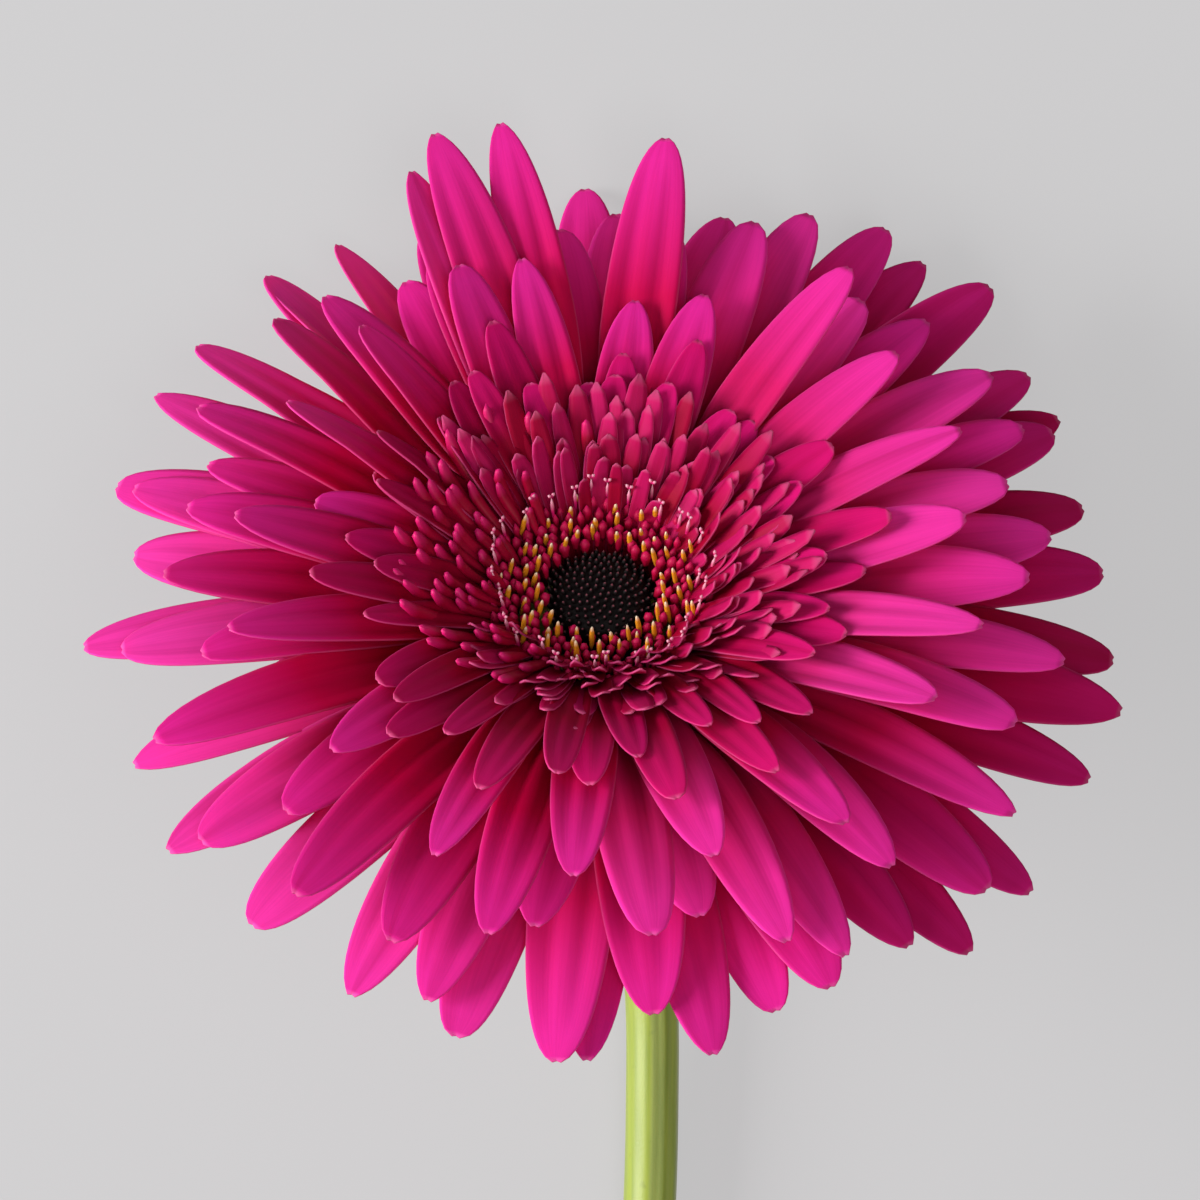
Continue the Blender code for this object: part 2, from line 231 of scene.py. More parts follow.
class StageSettings(bpy.types.PropertyGroup):
    """Where the camera stands and how strong the light is"""
    camera_height: length_property("Camera height", "Camera above the middle of the disc", 0.75)
    frame_width: length_property("Frame width", "Width seen at the level of the disc", 0.132)
    frame_drop: length_property("Frame drop", "How far the frame's middle lies below the disc", 1.9 * MM)
    key_power: bpy.props.FloatProperty(
        name="Key power", description="Power of the soft lamp on the left", default=19.0, unit="POWER")
    fill_power: bpy.props.FloatProperty(
        name="Fill power", description="Power of the weak lamp above", default=4.0, unit="POWER")
    sky_level: bpy.props.FloatProperty(
        name="Sky level", description="Brightness of the even light from all round", default=0.2)
    floor_glow: bpy.props.FloatProperty(
        name="Floor evenness", description="Share of the floor's look that no shadow reaches",
        default=0.78, min=0, max=1, subtype="FACTOR")


def head_frame():
    """Matrix of the head's frame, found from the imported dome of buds, whose foot is a disc."""
    turn = Euler((-radians(HEAD_TILT), 0, pi)).to_matrix()
    axis = turn @ Vector((0, 0, 1))
    places = [vert.co.copy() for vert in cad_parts["disc_buds"].data.vertices]
    foot = min(place.dot(axis) for place in places)
    rim = [place for place in places if place.dot(axis) < foot + 0.05 * MM]
    low = Vector(min(place[i] for place in rim) for i in range(3))
    high = Vector(max(place[i] for place in rim) for i in range(3))
    origin = (low + high) / 2 - axis * FOOT_GAP * MM
    return Matrix.Translation(origin) @ turn.to_4x4()


HEAD = head_frame()
# The stem's own numbers are counted from under the middle of the face
STEM_SHIFT = HEAD.translation - Vector((0, DISC_LEVEL * sin(radians(HEAD_TILT)), HEAD_LEVEL)) * MM


def add_node(material, kind, settings=None, links=None):
    """Add one node, set its properties and inputs, and link its inputs from other sockets.

    A name is a property's or an input's, and a number is an input's where names repeat.
    """
    node = material.node_tree.nodes.new(kind)
    for key, value in (settings or {}).items():
        if isinstance(key, int):
            node.inputs[key].default_value = value
        elif key in node.inputs:
            node.inputs[key].default_value = value
        else:
            setattr(node, key, value)
    for key, socket in (links or {}).items():
        material.node_tree.links.new(socket, node.inputs[key])
    return node


def new_material(name):
    """An empty node material and its output."""
    material = bpy.data.materials.new(name)
    material.use_nodes = True
    material.node_tree.nodes.clear()
    return material, add_node(material, "ShaderNodeOutputMaterial")


def mixed(material, factor, first, second, blend="MIX"):
    """Colour socket of a mix; factor and sides are sockets or plain values, colours linear."""
    node = add_node(material, "ShaderNodeMix", {"data_type": "RGBA", "blend_type": blend})
    for socket, value in ((node.inputs[0], factor), (node.inputs[6], first), (node.inputs[7], second)):
        if isinstance(value, bpy.types.NodeSocket):
            material.node_tree.links.new(value, socket)
        else:
            socket.default_value = value if isinstance(value, float) else (*value, 1)
    return node.outputs[2]


# glow carries painted light and dusk painted shade, both driven by the tone value; dusk also darkens the
# veins and bands
Tints = namedtuple("Tints", "foot middle end glow dusk edge tip")

# Shares of a petal's length: where the foot's colour stops, where the middle's stands, from where
# the end's is full, and between which the painted light of a petal on the key lamp's side grows to full
FOOT_TO, MIDDLE_AT, END_FROM = 0.38, 0.68, 0.95
GLOW_FROM, GLOW_FULL = 0.3, 0.75
# Most of the painted light and painted shade that a petal's tone value may bring
TONE_REACH = 0.9
# Across a petal of about 8 mm the veins' noise runs from -1 to 1, so 4 mm for each unit
VEIN_UNIT = 4.0 * MM
THROUGH_TINT = (1.0, 0.1, 0.5)


def petal_material(name, tints, vein_pitch, translucency, tip_start):
    """Petal: thin velvety living tissue, dull from tiny cells, with fine long veins.

    The eye gets a crimson foot, partly painted shade, that turns magenta, pale edges and light showing
    through. Vertex values drive it: along and across place the veins and edges, tone holds a random part
    and, on ray petals, painted light and shade by the side of the head that they lie on.
    """
    material, output = new_material(name)
    along = add_node(material, "ShaderNodeAttribute", {"attribute_name": "along"}).outputs["Fac"]
    across = add_node(material, "ShaderNodeAttribute", {"attribute_name": "across"}).outputs["Fac"]
    tone = add_node(material, "ShaderNodeAttribute", {"attribute_name": "tone"}).outputs["Fac"]

    # The crimson foot is partly the petal's own colour and partly painted shade near the middle of the
    # head
    ramp = add_node(material, "ShaderNodeValToRGB", {}, {"Fac": along})
    stops = ramp.color_ramp.elements
    stops[0].position, stops[0].color = FOOT_TO, (*tints.foot, 1)
    stops[1].position, stops[1].color = END_FROM, (*tints.end, 1)
    stops.new(MIDDLE_AT).color = (*tints.middle, 1)

    # Painted light: a tone above a half mixes the glow colour in towards the petal's end
    bright = add_node(material, "ShaderNodeMapRange",
                      {"From Min": 0.5, "From Max": 1.0, "To Min": 0.0, "To Max": TONE_REACH},
                      {"Value": tone}).outputs[0]
    dark = add_node(material, "ShaderNodeMapRange",
                    {"From Min": 0.5, "From Max": 0.0, "To Min": 0.0, "To Max": TONE_REACH},
                    {"Value": tone}).outputs[0]
    outward = add_node(material, "ShaderNodeMapRange",
                       {"From Min": GLOW_FROM, "From Max": GLOW_FULL}, {"Value": along}).outputs[0]
    painted_glow_share = add_node(material, "ShaderNodeMath", {"operation": "MULTIPLY"},
                       {0: bright, 1: outward}).outputs[0]
    colour = mixed(material, painted_glow_share, ramp.outputs[0], tints.glow)
    # Painted shade: a tone below a half mixes the dusk colour in all over the petal
    colour = mixed(material, dark, colour, tints.dusk)

    # Veins: noise stretched along the blade, about one cycle for each vein pitch across it
    place = add_node(material, "ShaderNodeCombineXYZ", {}, {0: across, 1: along, 2: tone}).outputs[0]
    fine = add_node(material, "ShaderNodeVectorMath",
                    {"operation": "MULTIPLY", 1: (VEIN_UNIT / vein_pitch, 1.3, 9.0)},
                    {0: place}).outputs[0]
    veins = add_node(material, "ShaderNodeTexNoise", {"Scale": 1.6, "Detail": 3.0},
                     {"Vector": fine}).outputs["Fac"]
    streak = add_node(material, "ShaderNodeMapRange",
                      {"From Min": 0.42, "From Max": 0.62, "To Min": 0.0, "To Max": 0.1},
                      {"Value": veins}).outputs[0]
    colour = mixed(material, streak, colour, tints.dusk)
    # Broad bands where the tissue is thicker, two or three to a petal
    wide = add_node(material, "ShaderNodeVectorMath", {"operation": "MULTIPLY", 1: (1.5, 0.8, 13.0)},
                    {0: place}).outputs[0]
    bands = add_node(material, "ShaderNodeTexNoise", {"Scale": 1.0, "Detail": 1.0},
                     {"Vector": wide}).outputs["Fac"]
    band = add_node(material, "ShaderNodeMapRange",
                    {"From Min": 0.45, "From Max": 0.75, "To Min": 0.0, "To Max": 0.35},
                    {"Value": bands}).outputs[0]
    colour = mixed(material, band, colour, tints.dusk)

    # Thin pale rim along both sides and over the tip
    side = add_node(material, "ShaderNodeMath", {"operation": "ABSOLUTE"}, {0: across}).outputs[0]
    rim = add_node(material, "ShaderNodeMapRange",
                   {"From Min": 0.95, "From Max": 1.0, "To Min": 0.0, "To Max": 0.3},
                   {"Value": side}).outputs[0]
    colour = mixed(material, rim, colour, tints.edge)
    blade_end = add_node(material, "ShaderNodeMapRange",
                         {"From Min": tip_start, "From Max": 1.0, "To Min": 0.0, "To Max": 0.35},
                         {"Value": along}).outputs[0]
    colour = mixed(material, blade_end, colour, tints.tip)

    bump = add_node(material, "ShaderNodeBump", {"Strength": 0.2, "Distance": 0.08 * MM},
                    {"Height": veins}).outputs[0]
    surface = add_node(material, "ShaderNodeBsdfPrincipled",
                       {"Roughness": 0.55, "Specular IOR Level": 0.07},
                       {"Base Color": colour, "Normal": bump}).outputs[0]
    # Light that comes through the tissue is redder than what its face returns
    reddened = mixed(material, 1.0, colour, THROUGH_TINT, "MULTIPLY")
    through = add_node(material, "ShaderNodeBsdfTranslucent", {},
                       {"Color": reddened, "Normal": bump}).outputs[0]
    blend = add_node(material, "ShaderNodeMixShader", {0: translucency}, {1: surface, 2: through})
    material.node_tree.links.new(blend.outputs[0], output.inputs["Surface"])
    return material


def tipped_material(name, body, tip, roughness, tip_start):
    """Small soft organ, such as an anther or bud: grainy, and its tip has a colour of its own."""
    material, output = new_material(name)
    along = add_node(material, "ShaderNodeAttribute", {"attribute_name": "along"}).outputs["Fac"]
    tone = add_node(material, "ShaderNodeAttribute", {"attribute_name": "tone"}).outputs["Fac"]
    dark = add_node(material, "ShaderNodeMapRange", {"To Min": 0.55, "To Max": 0.0},
                    {"Value": tone}).outputs[0]
    colour = mixed(material, dark, body, [channel * 0.45 for channel in body])
    # Grain of 0.2 mm, coarser than real pollen so that it shows
    place = add_node(material, "ShaderNodeTexCoord").outputs["Object"]
    grain = add_node(material, "ShaderNodeTexNoise", {"Scale": 1 / (0.2 * MM), "Detail": 2.0},
                     {"Vector": place}).outputs["Fac"]
    speck = add_node(material, "ShaderNodeMapRange",
                     {"From Min": 0.45, "From Max": 0.7, "To Min": 0.0, "To Max": 0.35},
                     {"Value": grain}).outputs[0]
    colour = mixed(material, speck, colour, [channel * 0.6 for channel in body])
    top = add_node(material, "ShaderNodeMapRange", {"From Min": tip_start, "From Max": 1.0},
                   {"Value": along}).outputs[0]
    colour = mixed(material, top, colour, tip)
    bump = add_node(material, "ShaderNodeBump", {"Strength": 0.3, "Distance": 0.05 * MM},
                    {"Height": grain}).outputs[0]
    surface = add_node(material, "ShaderNodeBsdfPrincipled",
                       {"Roughness": roughness, "Specular IOR Level": 0.2},
                       {"Base Color": colour, "Normal": bump})
    material.node_tree.links.new(surface.outputs[0], output.inputs["Surface"])
    return material


# Streaks of the stem's skin: 0.8 mm wide and 20 mm long
STREAK_SCALE = (1 / (0.8 * MM), 1 / (20 * MM), 1 / (0.8 * MM))


def stem_material(light, dark, pith):
    """Fresh stem: satin green skin with long streaks and fine hairs, pale pith at the cut."""
    material, output = new_material("gerbera_stem_skin")
    place = add_node(material, "ShaderNodeTexCoord").outputs["Object"]
    cut = add_node(material, "ShaderNodeAttribute", {"attribute_name": "cut"}).outputs["Fac"]
    streak_map = add_node(material, "ShaderNodeMapping", {"Scale": STREAK_SCALE},
                          {"Vector": place}).outputs[0]
    streaks = add_node(material, "ShaderNodeTexNoise", {"Scale": 1.0, "Detail": 4.0},
                       {"Vector": streak_map}).outputs["Fac"]
    amount = add_node(material, "ShaderNodeMapRange", {"From Min": 0.38, "From Max": 0.68},
                      {"Value": streaks}).outputs[0]
    colour = mixed(material, amount, light, dark)
    # Freckles where the skin is bruised, 2 mm apart
    freckles = add_node(material, "ShaderNodeTexNoise", {"Scale": 1 / (2 * MM), "Detail": 2.0},
                        {"Vector": place}).outputs["Fac"]
    bruise = add_node(material, "ShaderNodeMapRange",
                      {"From Min": 0.66, "From Max": 0.8, "To Min": 0.0, "To Max": 0.35},
                      {"Value": freckles}).outputs[0]
    colour = mixed(material, bruise, colour, [channel * 0.5 for channel in dark])
    colour = mixed(material, cut, colour, pith)
    # Hairs: fuzz of 0.3 mm that breaks up the shine
    hairs = add_node(material, "ShaderNodeTexNoise", {"Scale": 1 / (0.3 * MM), "Detail": 3.0},
                     {"Vector": place}).outputs["Fac"]
    bump = add_node(material, "ShaderNodeBump", {"Strength": 0.25, "Distance": 0.06 * MM},
                    {"Height": hairs}).outputs[0]
    surface = add_node(material, "ShaderNodeBsdfPrincipled",
                       {"Roughness": 0.42, "Specular IOR Level": 0.4, "Sheen Weight": 0.1},
                       {"Base Color": colour, "Normal": bump})
    material.node_tree.links.new(surface.outputs[0], output.inputs["Surface"])
    return material


def value_layers(bm):
    """The vertex values that the petal and organ materials read."""
    return {name: bm.verts.layers.float.new(name) for name in ("along", "across", "tone")}


def spine(row, reach, u):
    """Point and direction (radius, height) on a floret's middle line, for u from 0 to 1."""
    foot = Vector((row.foot, FOOT_GAP))
    knee = Vector((row.foot, row.knee))
    tip = Vector((reach, LIFT_LEVEL + (reach - LIFT_RADIUS) * tan(radians(row.lift))))
    end = radians(row.tip_angle)
    brow = tip - TIP_PULL * (tip - knee).length * Vector((cos(end), sin(end)))
    v = 1 - u
    point = v**3 * foot + 3 * v**2 * u * knee + 3 * v * u**2 * brow + u**3 * tip
    along = v**2 * (knee - foot) + 2 * v * u * (brow - knee) + u**2 * (tip - brow)
    return point, along.normalized()


# Outline of a blade: where it is widest, how late its claw opens, how square its shoulders are,
# and the share of the width that is left at the tip
WIDEST_AT, CLAW_OPENING, SHOULDER, TIP_SHARE = 0.64, 1.4, 2.4, 0.1


def half_width(row, u, bluntness):
    """Half the blade's width: a narrow claw, widest past the middle, and a rounded point."""
    if u < WIDEST_AT:
        spread = 0.5 - 0.5 * cos(pi * (u / WIDEST_AT) ** CLAW_OPENING)
        return (row.claw + (row.width - row.claw) * spread) / 2
    closing = 1 - ((u - WIDEST_AT) / (1 - WIDEST_AT)) ** SHOULDER
    return row.width * max(TIP_SHARE, closing**bluntness) / 2


Habit = namedtuple("Habit", "width sway twist droop curl tone bluntness")

# Ray florets that stand on edge: middle azimuth, spread, and the most that a blade turns
TURNED_SECTOR = (130, 19, 38)


def turned_angle(azimuth, spread_share=1.0):
    """How far the blades of one sector are turned on their long axis."""
    middle, spread, most = TURNED_SECTOR
    return most * exp(-((azimuth - middle) / (spread * spread_share)) ** 2)


def floret_habit(rng, azimuth, shade, turned):
    """How one floret differs from its row; its tone is random plus painted light and shade, so with a
    positive shade those towards -X, the key lamp's side, are painted paler.
    """
    # Painted light and shade: facing is 1 on the key lamp's side of the head and -1 across from it
    facing = -cos(radians(azimuth))
    return Habit(
        width=rng.uniform(0.97, 1.16),
        sway=rng.uniform(-2.4, 2.4),
        twist=rng.uniform(-9, 9) + turned,
        droop=rng.uniform(-0.7, 0.7),
        curl=rng.uniform(-0.8, 2.2),
        tone=min(1, max(0, 0.5 + shade * facing + rng.uniform(-0.14, 0.14))),
        bluntness=rng.uniform(0.4, 0.58),
    )


# A blade's cells shorten towards its tip by this power
TIP_CROWDING = 1.35
# Where the two long grooves lie from the middle line, and their half width, as shares of the
# half blade
GROOVE_AT, GROOVE_SPREAD = 0.42, 0.2
# Share of the length over which the blade's turn grows, and how late it grows
TURN_DONE, TURN_DELAY = 0.8, 1.5
NOTCH_SHARE = 0.02


def add_blade(bm, layers, row, azimuth, reach, habit, cells, groove):
    """One blade: a grid bent along the floret's middle line, grooved, with a notched tip."""
    cells_across, cells_along = cells
    turn = Matrix.Rotation(radians(azimuth), 3, "Z")
    sheet = bmesh.ops.create_grid(bm, x_segments=cells_across, y_segments=cells_along, size=0.5)
    for vert in sheet["verts"]:
        side = vert.co.x * 2
        step = vert.co.y + 0.5
        u = 1 - (1 - step) ** TIP_CROWDING
        point, along = spine(row, reach, u)
        half = half_width(row, u, habit.bluntness) * habit.width
        upward = Vector((-along.y, along.x))
        hollow = CUP * habit.curl * half * side**2 * (1 - 1.4 * u)
        furrow = groove * sin(pi * min(1, u * 1.05)) * exp(-((abs(side) - GROOVE_AT) / GROOVE_SPREAD) ** 2)
        twist = radians(habit.twist) * min(1, u / TURN_DONE) ** TURN_DELAY
        offset = hollow - furrow + side * half * sin(twist) + habit.droop * u**2
        place = point + upward * offset
        if u > 0.999:
            place -= along * (NOTCH_SHARE * row.width * (1 - abs(side)))
        around = (side * half * cos(twist) + habit.sway * u**2) / place.x
        vert.co = turn @ Vector((place.x * cos(around), place.x * sin(around), place.y)) * MM
        vert[layers["along"]] = u
        vert[layers["across"]] = side
        vert[layers["tone"]] = habit.tone


def finish_piece(context, name, bm, material, nodes, place=None):
    bm.transform(HEAD if place is None else place)
    for vert in bm.verts:
        vert.co.z = max(vert.co.z, FLOOR_CLEARANCE)
    mesh = bpy.data.meshes.new(name)
    bm.to_mesh(mesh)
    bm.free()
    mesh.materials.append(material)
    mesh.shade_smooth()
    piece = bpy.data.objects.new(name, mesh)
    context.scene.collection.objects.link(piece)
    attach(piece, "root")
    if nodes:
        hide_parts(*nodes)
    return piece


def thicken(bm, thickness):
    """Give open sheets a wall on the side their faces look to, closed all round."""
    bm.normal_update()
    outward = bm.verts.layers.float_vector.new("outward")
    for vert in bm.verts:
        vert[outward] = vert.normal
    grown = bmesh.ops.extrude_face_region(bm, geom=bm.faces[:])["geom"]
    for vert in grown:
        if isinstance(vert, bmesh.types.BMVert):
            vert.co += vert[outward] * thickness
    bm.verts.layers.float_vector.remove(outward)
    bmesh.ops.recalc_face_normals(bm, faces=bm.faces)


def ray_material(colours, sizes):
    """Shared material of all long ray petals."""
    name = "gerbera_ray_petal"
    tints = Tints(colours.petal_foot, colours.petal_middle, colours.petal_end, colours.petal_painted_light,
                  colours.petal_painted_shade_and_veins, colours.petal_edge, colours.petal_tip)
    return bpy.data.materials.get(name) or petal_material(name, tints, sizes.vein_pitch, 0.4, 0.99)


def small_petal_material(name, colours, sizes, end, tip_start):
    """Deeper-coloured petals near the disc, a little thicker, so less light comes through."""
    tints = Tints(colours.trans_foot, colours.trans_foot, end, end, colours.trans_foot,
                  colours.petal_edge, colours.petal_tip)
    return petal_material(name, tints, sizes.vein_pitch, 0.35, tip_start)


class GERBERA_OT_single_florets(bpy.types.Operator):
    """Build the outer ray florets, one piece each"""
    bl_idname = "gerbera.single_florets"
    bl_label = "Outer ray florets"

    def execute(self, context):
        sizes = context.scene.gerbera_sizes
        material = ray_material(context.scene.gerbera_colours, sizes)
        rng = Random(11)
        for row_name, florets in SINGLE_FLORETS.items():
            for number, (azimuth, reach) in enumerate(florets, 1):
                bm = bmesh.new()
                # Painted light: outer petals on the key lamp's side are painted paler, those across from
                # it darker
                habit = floret_habit(rng, azimuth, 0.38, turned_angle(azimuth))
                add_blade(bm, value_layers(bm), ROWS[row_name], azimuth, reach, habit, (14, 30),
                          sizes.groove_depth / MM)
                thicken(bm, sizes.petal_thickness)
                node = f"ray_floret_{row_name}_{number:02d}"
                finish_piece(context, f"petal_{row_name}_{number:02d}", bm, material, [node])
        return {"FINISHED"}


class GERBERA_OT_ray_rows(bpy.types.Operator):
    """Build the inner rows of ray florets, one piece for each row"""
    bl_idname = "gerbera.ray_rows"
    bl_label = "Inner rows of ray florets"

    def execute(self, context):
        sizes = context.scene.gerbera_sizes
        colours = context.scene.gerbera_colours
        outer = ray_material(colours, sizes)
        inner = small_petal_material("gerbera_inner_petal", colours, sizes, colours.inner_end, 0.98)
        rng = Random(23)
        for row_name, node in RING_NODES.items():
            is_inner = row_name.startswith("inner")
            bm = bmesh.new()
            layers = value_layers(bm)
            for azimuth, reach in RING_FLORETS[row_name]:
                # Painted shade: inner rows on the key lamp's side face away from it and are painted
                # darker, those across paler
                habit = floret_habit(rng, azimuth, -0.16, turned_angle(azimuth - 12, 0.9))
                add_blade(bm, layers, ROWS[row_name], azimuth, reach, habit, (10, 20),
                          sizes.groove_depth / MM * (0.6 if is_inner else 1))
            thicken(bm, sizes.petal_thickness)
            finish_piece(context, f"petals_{row_name}", bm, inner if is_inner else outer, [node])
        return {"FINISHED"}


def add_organ(bm, layers, foot, tip, width, tone, bulge, detail=1):
    """A small closed spindle from foot to tip, for anthers, styles and buds."""
    direction = tip - foot
    length = direction.length
    turn = direction.to_track_quat("Z", "Y").to_matrix()
    made = bmesh.ops.create_icosphere(bm, subdivisions=detail, radius=1.0)["verts"]
    for vert in made:
        along = (vert.co.z + 1) / 2
        swell = 1 + bulge * (along - 0.5)
        local = Vector((vert.co.x * width / 2 * swell, vert.co.y * width / 2 * swell, along * length))
        vert.co = (foot + turn @ local) * MM
        vert[layers["along"]] = along
        vert[layers["tone"]] = tone


def head_point(radius, azimuth, height):
    """A point of the head's frame, in millimetres; azimuth in radians."""
    return Vector((radius * cos(azimuth), radius * sin(azimuth), height))


def add_club(bm, layers, row, azimuth, reach, habit):
    """A small floret still rolled up: a curved club along the floret's middle line."""
    turn = Matrix.Rotation(radians(azimuth), 3, "Z")
    made = bmesh.ops.create_icosphere(bm, subdivisions=2, radius=1.0)["verts"]
    for vert in made:
        share = (vert.co.z + 1) / 2
        u = 0.4 + 0.6 * share
        point, along = spine(row, reach, u)
        upward = Vector((-along.y, along.x))
        half = row.width * habit.width / 2 * (0.6 + 0.4 * share)
        place = point + upward * (vert.co.y * half * 0.8 + habit.droop * u**2)
        around = (vert.co.x * half + habit.sway * u**2) / place.x
        vert.co = turn @ Vector((place.x * cos(around), place.x * sin(around), place.y)) * MM
        vert[layers["along"]] = share
        vert[layers["tone"]] = habit.tone


# Small florets are rolled up round this azimuth and open beyond the spread, in degrees
ROLLED_AT, ROLLED_SPREAD = 178, 58
# How much more upright a rolled floret's tip is than an open one's, and the steepest it may be
CLUB_RISE, CLUB_STEEPEST = 34, 96
OPEN_WIDENING = 1.25


class GERBERA_OT_trans_florets(bpy.types.Operator):
    """Build the rows of small strap florets that stand round the disc"""
    bl_idname = "gerbera.trans_florets"
    bl_label = "Trans florets"

    def execute(self, context):
        sizes = context.scene.gerbera_sizes
        colours = context.scene.gerbera_colours
        material = small_petal_material("gerbera_trans_petal", colours, sizes, colours.trans_end, 0.93)
        # The outside of a rolled floret is smoother and waxier than a petal's face
        club_material = tipped_material("gerbera_trans_club", colours.trans_foot, colours.trans_end,
                                        0.42, 0.72)
        rng = Random(31)
        for name, node, rows in TRANS_RINGS:
            bm = bmesh.new()
            layers = value_layers(bm)
            clubs = bmesh.new()
            club_layers = value_layers(clubs)
            for number, (reach, height, tip_angle, width, count) in enumerate(rows):
                lift = degrees(atan2(height - LIFT_LEVEL, reach - LIFT_RADIUS))
                row = Row(reach * 0.2 + 5.4, 9.6, lift, tip_angle, width, 1.1)
                for i in range(count):
                    azimuth = 360 * (i + 0.5 * number) / count + rng.uniform(-5, 5)
                    # Rolled up on the -X side of the face, and open all round the rest
                    open_share = 1 - exp(-((azimuth - ROLLED_AT) / ROLLED_SPREAD) ** 2)
                    habit = Habit(width=rng.uniform(0.75, 1.0), sway=rng.uniform(-0.8, 0.8),
                                  twist=rng.uniform(-30, 30), droop=rng.uniform(-1, 1),
                                  curl=rng.uniform(4, 9), tone=rng.uniform(0, 1), bluntness=0.4)
                    out = reach + rng.uniform(-1, 1)
                    if rng.uniform(0.1, 0.9) < open_share:
                        habit = habit._replace(width=habit.width * OPEN_WIDENING)
                        add_blade(bm, layers, row, azimuth, out, habit, (4, 8), 0)
                    else:
                        rise = CLUB_RISE * min(1, 1 + sin(radians(azimuth)))
                        upright = row._replace(tip_angle=min(CLUB_STEEPEST, tip_angle + rise))
                        add_club(clubs, club_layers, upright, azimuth, out, habit)
            thicken(bm, sizes.petal_thickness)
            finish_piece(context, name, bm, material, [node])
            finish_piece(context, name + "_rolled", clubs, club_material, [])
        return {"FINISHED"}


class GERBERA_OT_disc_florets(bpy.types.Operator):
    """Build the open disc florets: anther tubes, corolla lobes and forked styles"""
    bl_idname = "gerbera.disc_florets"
    bl_label = "Disc florets"

    # Rings of anther tubes: radius of their tips and how many
    ANTHER_RINGS = ((6.8, 23), (8.3, 21), (9.7, 17), (11.0, 9))
    # Radii between which the corolla lobes stand and the styles lean out, and how many there are
    COROLLA_BAND, COROLLAS = (6.3, 12.6), 240
    STYLE_BAND, STYLES = (10.9, 13.0), 34

    def execute(self, context):
        sizes = context.scene.gerbera_sizes
        colours = context.scene.gerbera_colours
        rng = Random(47)
        width = sizes.anther_width / MM

        bm = bmesh.new()
        layers = value_layers(bm)
        for ring, (radius, count) in enumerate(self.ANTHER_RINGS):
            for i in range(count):
                azimuth = 2 * pi * (i + 0.5 * (ring % 2)) / count + rng.uniform(-0.07, 0.07)
                out = radius + rng.uniform(-0.4, 0.4)
                top = 10.9 + 0.25 * ring + rng.uniform(-0.5, 0.5)
                foot = head_point(out + 0.6, azimuth, 7.2)
                tip = head_point(out, azimuth + rng.uniform(-0.05, 0.05), top)
                thickness = width * rng.uniform(0.85, 1.1)
                add_organ(bm, layers, foot, tip, thickness, rng.uniform(0.3, 1), 0.1, 2)
        # Ripe pollen on the anthers: matt and crumbly
        pollen = tipped_material("gerbera_pollen", colours.pollen, colours.pollen_tip, 0.6, 0.8)
        finish_piece(context, "anther_tubes", bm, pollen, ["disc_florets"])

        bm = bmesh.new()
        layers = value_layers(bm)
        inner, outer = self.COROLLA_BAND
        for i in range(self.COROLLAS):
            azimuth = i * GOLDEN_ANGLE
            radius = sqrt(inner**2 + (outer**2 - inner**2) * (i + 0.5) / self.COROLLAS)
            foot = head_point(radius - 0.3, azimuth, 6.8)
            level = 9.5 + 0.2 * (radius - 6.4) + rng.uniform(-0.5, 0.7)
            tip = head_point(radius + rng.uniform(-0.4, 0.6), azimuth, level)
            add_organ(bm, layers, foot, tip, rng.uniform(0.75, 1.25), rng.uniform(0.2, 1), 0.9)
        # Fleshy lobes of the disc florets, a soft satin
        flesh = tipped_material("gerbera_disc_corolla", colours.trans_foot, colours.corolla, 0.5, 0.6)
        finish_piece(context, "disc_corollas", bm, flesh, [])

        bm = bmesh.new()
        layers = value_layers(bm)
        for i in range(self.STYLES):
            azimuth = 2 * pi * (i + rng.uniform(-0.4, 0.4)) / self.STYLES
            radius = rng.uniform(*self.STYLE_BAND)
            foot = head_point(radius - 0.6, azimuth, 8.5)
            neck = head_point(radius, azimuth, 12.2 + 0.3 * (radius - 11) + rng.uniform(-0.3, 0.4))
            add_organ(bm, layers, foot, neck, 0.46, 0.8, 0.2)
            for side in (-1, 1):
                arm = Vector((-sin(azimuth), cos(azimuth), 0)) * 0.42 * side + Vector((0, 0, 0.6))
                add_organ(bm, layers, neck - arm * 0.3, neck + arm, 0.42, 0.8, 0.4)
        # Styles: pink threads whose sticky forked ends are almost white
        style = tipped_material("gerbera_style", colours.trans_end, colours.stigma, 0.5, 0.5)
        finish_piece(context, "floret_styles", bm, style, [])
        return {"FINISHED"}


